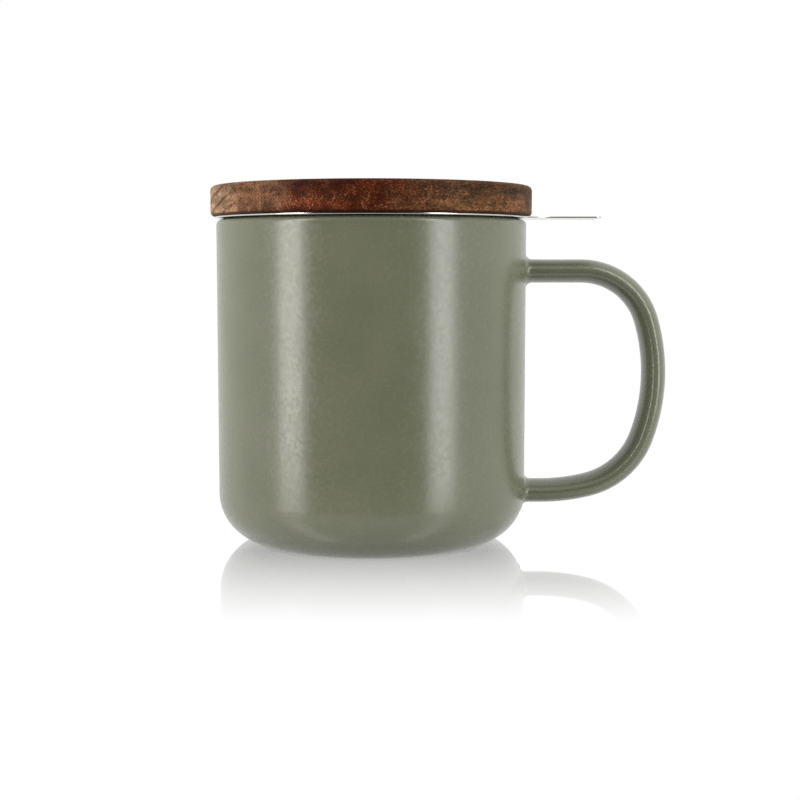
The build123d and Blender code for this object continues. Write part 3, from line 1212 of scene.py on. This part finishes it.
fin_thickness = 0.7 * mm
fin_pitch = 1.7 * mm
fin_tip = 0.3 * mm
fin_root = 0.2 * mm
ring_edge_radius = 0.1 * mm
ring_inner = plug_radius - groove_depth
ring_corners = [(x, seal_low.z, ring_edge_radius) for x in (ring_inner, plug_radius)]
seal_middle = (seal_low.z + seal_high.z) / 2
for fin_z in (seal_middle - fin_pitch / 2, seal_middle + fin_pitch / 2):
    low, high = fin_z - fin_thickness / 2, fin_z + fin_thickness / 2
    ring_corners += [(plug_radius, low, fin_root), (seal_high.x, low, fin_tip)]
    ring_corners += [(seal_high.x, high, fin_tip), (plug_radius, high, fin_root)]
ring_corners += [(x, seal_high.z, ring_edge_radius) for x in (plug_radius, ring_inner)]
lid_ring = turned("lid_ring", rounded(ring_corners, closed=True, steps=5), closed=True)
dress(lid_ring, make_silicone(), "lid", ["lid_seal"])

# %% [markdown]
# ## Floor, light and camera
# The floor is glossy white board. It shows a soft mirror image close to the mug, which fades a
# few centimetres away. The background is plain white, to the camera and in whatever the glaze and
# the steel reflect. A dark cloth screen stands behind the camera, so a round body is darkest in the
# middle. Two tall narrow lamps beside it draw the two upright highlights. The level of the light was
# set with a grey card of 18 percent: in place of the body and the lid it rendered as about 19 percent.

# %% Floor
pure_white = (1.0, 1.0, 1.0, 1.0)
board_grey = (0.6, 0.6, 0.6, 1.0)
mirror_share = 0.67
fades_from = 20 * mm
gone_at = 96 * mm
shadow_share = 0.05
open_board_level = 0.6
gloss_mirror_share = 0.28
mirror_left, mirror_right = -foot_radius, handle_high.x - 10 * mm


def seen_rays(tree, rays):
    """1 for the rays that show the background: from the camera, a reflection or through glass."""
    seen = maths(tree, "MAXIMUM", rays["Is Camera Ray"], rays["Is Glossy Ray"])
    return maths(tree, "MAXIMUM", seen, rays["Is Transmission Ray"])


def make_floor_board():
    """White board. Near the mug it is also a mirror and takes a faint shadow."""
    material, tree, place = new_material("white_board")
    spread = parts_of(tree, place)
    beyond_right = maths(tree, "MAXIMUM", minus(tree, spread["X"], mirror_right), 0.0)
    beyond_left = maths(tree, "MAXIMUM", minus(tree, mirror_left, spread["X"]), 0.0)
    off_x = plus(tree, beyond_right, beyond_left)
    away = distance_of(tree, off_x, spread["Y"])
    nearness = remap(tree, away, fades_from, gone_at, 1.0, 0.0, smooth=False)
    rays = add(tree, "ShaderNodeLightPath").outputs
    lit = add(tree, "ShaderNodeBsdfDiffuse", {"Color": pure_white})
    shaded = times(tree, nearness, shadow_share)
    made_up = 1.0 + shadow_share * (1.0 - open_board_level)
    strength = remap(tree, nearness, 0.0, 1.0, 1.0, made_up, smooth=False)
    glow = add(tree, "ShaderNodeEmission", {"Color": pure_white, "Strength": strength})
    white = mixed(tree, shaded, glow, lit)
    gloss = add(tree, "ShaderNodeBsdfGlossy", {"Color": pure_white, "Roughness": 0.0})
    mirror = remap(tree, rays["Is Glossy Ray"], 0.0, 1.0, mirror_share, gloss_mirror_share)
    mirrored = times(tree, nearness, mirror)
    shown = mixed(tree, mirrored, white, gloss)
    board = add(tree, "ShaderNodeBsdfDiffuse", {"Color": board_grey})
    return finish_material(material, mixed(tree, seen_rays(tree, rays), board, shown))


board_radius = gone_at + 4 * mm
board_steps = 48
board_level = -0.02 * mm


def board_outline():
    """Two half circles, one round each end of the stretch that the mug and its handle cover."""
    points = []
    for end_x, first_angle in ((mirror_right, -pi / 2), (mirror_left, pi / 2)):
        for step in range(board_steps + 1):
            angle = first_angle + pi * step / board_steps
            points.append((end_x + board_radius * cos(angle), board_radius * sin(angle), board_level))
    return points


board_points = board_outline()
board = new_piece("board", board_points, [list(range(len(board_points)))])
board.data.materials.append(make_floor_board())

# %% Room
back_strength = 0.4
back_below = 0.15
side_strength = 1.05
front_strength = 0.075
top_strength = 0.4
below_heights = (-0.45, -0.1)
top_heights = (0.55, 0.85)
back_to_side = (-0.9, 0.3)
side_to_front = (0.64, 0.78)
pole_guard = 1.0001


def make_room():
    """White to the camera and in reflections. Its light is that of a room with a dark front."""
    world = bpy.data.worlds.new("studio")
    world.use_nodes = True
    bpy.context.scene.world = world
    tree = world.node_tree
    tree.nodes.clear()
    towards = add(tree, "ShaderNodeTexCoord").outputs["Generated"]
    part = parts_of(tree, towards)
    level = maths(tree, "SQRT", minus(tree, pole_guard, maths(tree, "POWER", part["Z"], 2.0)))
    front = divided(tree, times(tree, part["Y"], -1.0), level)
    below = remap(tree, part["Z"], *below_heights, back_below, back_strength)
    walls = remap(tree, front, *back_to_side, below, side_strength, smooth=False)
    walls_share = remap(tree, front, *side_to_front, 1.0, 0.0)
    open_front = times(tree, minus(tree, 1.0, walls_share), front_strength)
    around = plus(tree, times(tree, walls, walls_share), open_front)
    overhead = remap(tree, part["Z"], *top_heights)
    around_share = times(tree, around, minus(tree, 1.0, overhead))
    light = plus(tree, around_share, times(tree, overhead, top_strength))
    studio = add(tree, "ShaderNodeBackground", {"Color": pure_white, "Strength": light})
    white = add(tree, "ShaderNodeBackground", {"Color": pure_white, "Strength": 1.0})
    rays = add(tree, "ShaderNodeLightPath").outputs
    shown = mixed(tree, seen_rays(tree, rays), studio, white)
    add(tree, "ShaderNodeOutputWorld", {"Surface": shown.outputs[0]})
    print("the room's world has", len(tree.nodes), "nodes")


make_room()

# %% Dark screen
screen_distance = 0.75
screen_half_turn = 45.0
screen_reach = 0.7
screen_steps = 24
screen_grey = (0.1, 0.1, 0.1)
weave_size = 2 * mm


def make_screen_cloth():
    """Charcoal cloth. The floor's mirror looks through it, so the floor stays white all round."""
    material, tree, place = new_material("charcoal_cloth")
    weave = remap(tree, noise(tree, place, weave_size), 0.3, 0.7, 0.9, 1.1)
    cloth = add(tree, "ShaderNodeBsdfDiffuse", {"Color": scaled(tree, screen_grey, weave)})
    clear = add(tree, "ShaderNodeBsdfTransparent", {"Color": pure_white})
    mirror_ray = add(tree, "ShaderNodeLightPath").outputs["Is Singular Ray"]
    return finish_material(material, mixed(tree, mirror_ray, cloth, clear))


def screen_points():
    """Pairs of a low and a high point, on an arc round the mug on the camera's side."""
    points = []
    for step in range(screen_steps + 1):
        turn = radians(screen_half_turn * (2 * step / screen_steps - 1))
        x, y = screen_distance * sin(turn), -screen_distance * cos(turn)
        points += [(x, y, -screen_reach), (x, y, screen_reach)]
    return points


screen_faces = [[2 * n, 2 * n + 2, 2 * n + 3, 2 * n + 1] for n in range(screen_steps)]
screen = new_piece("screen", screen_points(), screen_faces)
screen.data.materials.append(make_screen_cloth())
screen.visible_camera = False
screen.visible_diffuse = False
screen.visible_shadow = False

# %% Lamps
lamp_distance = 0.62
lamp_width = 0.2
lamp_top = 1.5
power_per_radiance = 4
lamps = {
    "left_strip": {"azimuth": -57.5, "bottom": -0.08, "radiance": 4.9, "colour": (1.0, 0.96, 0.95)},
    "right_strip": {"azimuth": 51.5, "bottom": -0.1, "radiance": 4.2, "colour": (1.0, 1.0, 1.0)},
}


def add_strip(name, azimuth, bottom, radiance, colour):
    """A tall lamp that faces the mug. Azimuth is measured from the camera's side."""
    light = bpy.data.lights.new(name, "AREA")
    light.shape = "RECTANGLE"
    light.size, light.size_y = lamp_width, lamp_top - bottom
    light.energy = radiance * power_per_radiance * light.size * light.size_y
    light.color = colour
    lamp = bpy.data.objects.new(name, light)
    turn = radians(azimuth)
    middle = (lamp_top + bottom) / 2
    lamp.location = (lamp_distance * sin(turn), -lamp_distance * cos(turn), middle)
    lamp.rotation_euler = (pi / 2, 0.0, turn)
    lamp.visible_camera = False
    bpy.context.scene.collection.objects.link(lamp)
    print(name, "power", round(light.energy, 2), "W")


for lamp_name, settings in lamps.items():
    add_strip(lamp_name, **settings)

# %% Camera
camera_place = (7.85 * mm, -400 * mm, 76.8 * mm)
camera_tilt = 0.095
camera_data = bpy.data.cameras.new("camera")
camera_data.sensor_width = 36.0
camera_data.lens = 64.8
camera = bpy.data.objects.new("camera", camera_data)
camera.location = camera_place
camera.rotation_euler = (pi / 2 - camera_tilt, 0.0, 0.0)
print("the camera looks down by", round(camera_tilt * 180 / pi, 1), "degrees")
bpy.context.scene.collection.objects.link(camera)
bpy.context.scene.camera = camera
bpy.context.scene.view_settings.view_transform = "Standard"
